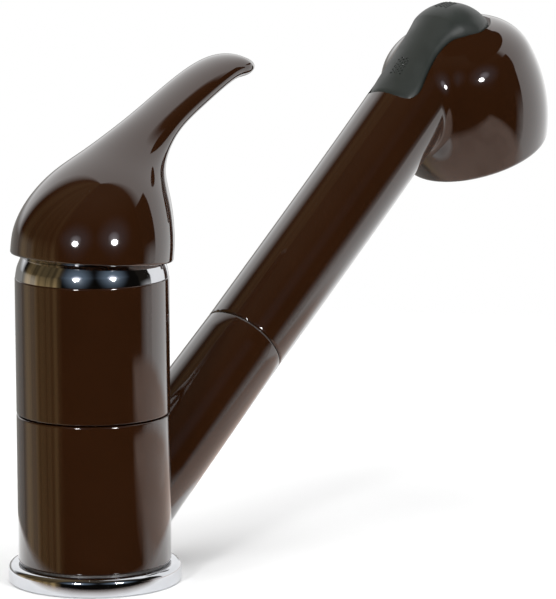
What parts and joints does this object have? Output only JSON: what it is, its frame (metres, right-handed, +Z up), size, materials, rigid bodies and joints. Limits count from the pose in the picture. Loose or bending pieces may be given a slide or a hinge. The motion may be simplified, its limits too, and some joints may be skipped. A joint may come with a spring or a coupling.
{
  "type": "kitchen mixer tap",
  "caption": "Single-lever kitchen mixer tap with a slanted swivel spout, a pull-out spray head with a soft rocker on its bend, and a swept lever over the body.",
  "frame": {"origin": "middle of the tap hole, on the deck plane that the flange stands on", "axes": "+Z up out of the deck, +X along the spout in plan, towards the spray head"},
  "size_m": [0.2434, 0.0572, 0.1744],
  "materials": {
    "lacquer": "gloss dark brown lacquer on cast brass",
    "chrome": "polished chrome plate",
    "steel": "plain stainless steel",
    "brass": "machined brass",
    "ceramic": null,
    "seal_rubber": "black sealing rubber",
    "soft_touch": "matt dark grey soft-touch rubber with two dotted patches",
    "nozzle_silicone": "grey silicone",
    "acetal": "natural acetal",
    "cartridge_plastic": "grey moulded plastic",
    "chamber_plastic": "dark moulded plastic",
    "face_plastic": "dark grey moulded plastic",
    "index_plastic": "brown plastic plug, level with the cap"
  },
  "bodies": {
    "body": {"mixer_body": "lacquer", "base_flange": "chrome", "deck_seal": "seal_rubber", "slip_washer": "acetal", "lower_glide_ring": "acetal", "upper_glide_ring": "acetal", "cartridge_base": "cartridge_plastic", "hot_port_seal": "seal_rubber", "cold_port_seal": "seal_rubber", "outlet_port_seal": "seal_rubber", "fixed_disc": "ceramic", "cartridge_housing": "cartridge_plastic", "cartridge_nut": "brass", "dome_cover": "chrome"},
    "spout": {"swivel_spout": "lacquer", "docking_collar": "acetal"},
    "rotor": {"cartridge_rotor": "cartridge_plastic", "fulcrum_pin": "steel"},
    "disc": {"moving_disc": "ceramic", "disc_carrier": "acetal"},
    "lever": {"lever_handle": "lacquer", "lever_spindle": "steel", "grub_screw": "steel", "index_plug": "index_plastic"},
    "connector": {"hose_connector": "brass", "check_valve": "acetal", "connector_seal": "seal_rubber"},
    "handset": {"handset_shell": "lacquer", "retaining_clip": "steel", "water_chamber": "chamber_plastic", "nozzle_membrane": "nozzle_silicone", "spray_face": "face_plastic", "aerator_housing": "face_plastic", "aerator_insert": "acetal", "rocker_pin": "steel"},
    "rocker": {"rocker_pad": "soft_touch"}
  },
  "joints": [
    {"name": "spout_swivel", "type": "hinge", "parent": "body", "child": "spout", "pos_m": [0, 0, 0.03], "axis": [0, 0, 1], "range_deg": [-60, 60]},
    {"name": "lever_turn", "type": "hinge", "parent": "body", "child": "rotor", "pos_m": [0, 0, 0.095], "axis": [0, 0, 1], "range_deg": [-50, 50]},
    {"name": "lever_lift", "type": "hinge", "parent": "rotor", "child": "lever", "pos_m": [0, 0, 0.095], "axis": [0, -1, 0], "range_deg": [0, 25]},
    {"name": "disc_slide", "type": "slide", "parent": "rotor", "child": "disc", "axis": [1, 0, 0], "range_m": [0, 0.0037]},
    {"name": "pull_out", "type": "slide", "parent": "spout", "child": "connector", "axis": [0.7727, 0, 0.6347], "range_m": [0, 0.4]},
    {"name": "handset_turn", "type": "hinge", "parent": "connector", "child": "handset", "pos_m": [0, 0, 0.0106], "axis": [0.7727, 0, 0.6347], "continuous": true},
    {"name": "rocker_tilt", "type": "hinge", "parent": "handset", "child": "rocker", "pos_m": [0.1643, 0, 0.15876], "axis": [0, 1, 0], "range_deg": [-2, 2]}
  ],
  "couplings": [
    {"joint": "disc_slide", "follows": "lever_lift", "m_per_rad": 0.008433}
  ]
}
